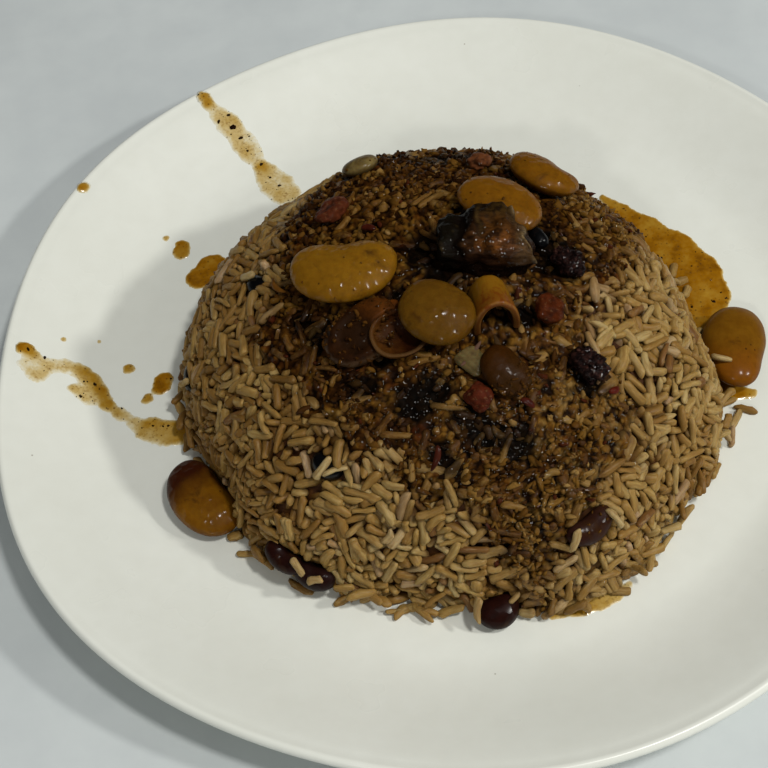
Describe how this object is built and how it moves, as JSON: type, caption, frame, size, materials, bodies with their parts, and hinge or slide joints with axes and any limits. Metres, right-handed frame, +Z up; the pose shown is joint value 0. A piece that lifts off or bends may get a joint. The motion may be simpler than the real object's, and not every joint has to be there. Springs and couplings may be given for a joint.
{
  "type": "plate of rice and beans",
  "caption": "Domed heap of rice in brown gravy, topped with butter beans, a meat chunk and cut vegetables, on a cream coupe plate.",
  "frame": {"origin": "on the table under the middle of the plate's outline, at the bottom of its foot ring", "axes": "+Z up, -Y towards the diner, +X to the diner's right"},
  "size_m": [0.2793, 0.2807, 0.0774],
  "materials": {
    "plate_glaze": "satin, off-white",
    "rice": "cooked rice grains, tan, moist",
    "butter_bean": "glossy cooked bean skin, amber yellow",
    "gravy": "dark brown wet gravy",
    "dark_bean": "glossy dark red to black bean skin",
    "tomato": "moist cooked red flesh",
    "onion": "soft translucent pale green",
    "meat": "braised dark brown meat, wet"
  },
  "bodies": {
    "root": {"plate": "plate_glaze", "rice_mound": "rice", "bean_skin_arch": "butter_bean", "black_bean_behind_meat": "dark_bean", "black_bean_mid_left": "dark_bean", "butter_bean_back": "butter_bean", "butter_bean_behind": "butter_bean", "butter_bean_front": "gravy", "butter_bean_gravy": "gravy", "butter_bean_left": "butter_bean", "butter_bean_middle": "butter_bean", "butter_bean_plate_left": "butter_bean", "butter_bean_plate_right": "butter_bean", "butter_bean_split": "gravy", "crushed_bean_front_right": "dark_bean", "crushed_bean_right": "dark_bean", "kidney_bean_front": "dark_bean", "kidney_bean_front_left": "dark_bean", "kidney_bean_front_mid": "dark_bean", "kidney_bean_left": "dark_bean", "kidney_bean_right": "dark_bean", "kidney_bean_upper_left": "dark_bean", "lima_bean_back": "butter_bean", "meat_chunk": "meat", "onion_petal": "onion", "tomato_back_left": "tomato", "tomato_back_right": "tomato", "tomato_front": "tomato", "tomato_right": "tomato"}
  },
  "joints": []
}
